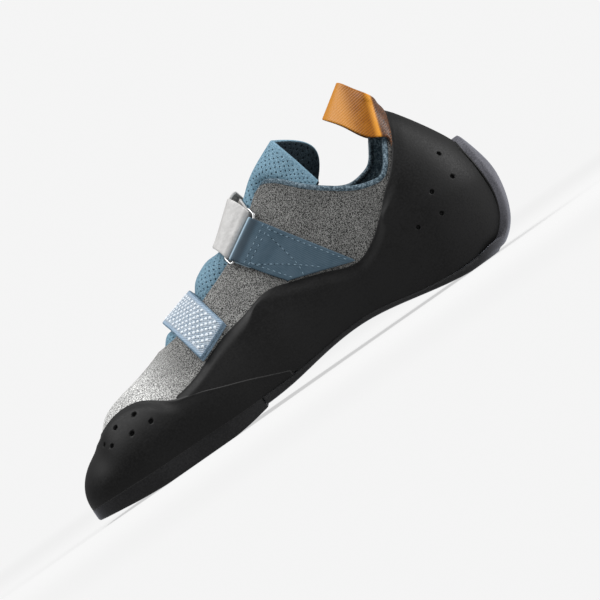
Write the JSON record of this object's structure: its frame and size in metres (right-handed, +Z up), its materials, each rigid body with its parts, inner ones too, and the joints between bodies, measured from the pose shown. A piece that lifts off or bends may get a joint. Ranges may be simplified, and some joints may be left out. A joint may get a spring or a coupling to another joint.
{
  "type": "climbing shoe",
  "caption": "Right-foot rock climbing shoe with hook-and-loop straps, a rubber toe patch, wrapped side rands, a heel cup, a split outsole and a heel pull loop.",
  "frame": {"origin": "centre of the bounding box in plan, on the floor the sole stands on", "axes": "-X to the toe, +X to the heel, -Y to the inner (medial) side of the right foot, +Z up"},
  "size_m": [0.2602, 0.0911, 0.1148],
  "materials": {
    "grey_suede": "napped suede, heathered grey",
    "blue_mesh": "perforated padded knit",
    "insole_board": "matt lining",
    "sole_rubber": "smooth matt, slightly blue-grey",
    "black_rubber": "smooth matt",
    "grey_strap": "smooth synthetic leather",
    "steel_wire": "bent round wire",
    "blue_anchor": "twill microfibre",
    "woven_strap": "coarse woven webbing",
    "orange_ribbon": "satin twill ribbon"
  },
  "bodies": {
    "root": {"upper": "grey_suede", "tongue": "blue_mesh", "insole": "insole_board", "outsole_front": "sole_rubber", "outsole_rear": "sole_rubber", "toe_rand": "black_rubber", "heel_rand": "black_rubber", "collar_binding": "blue_mesh", "upper_strap": "grey_strap", "upper_ring": "steel_wire", "upper_anchor": "blue_anchor", "lower_strap": "woven_strap", "lower_ring": "steel_wire", "lower_anchor": "blue_anchor", "pull_loop": "orange_ribbon"}
  },
  "joints": []
}
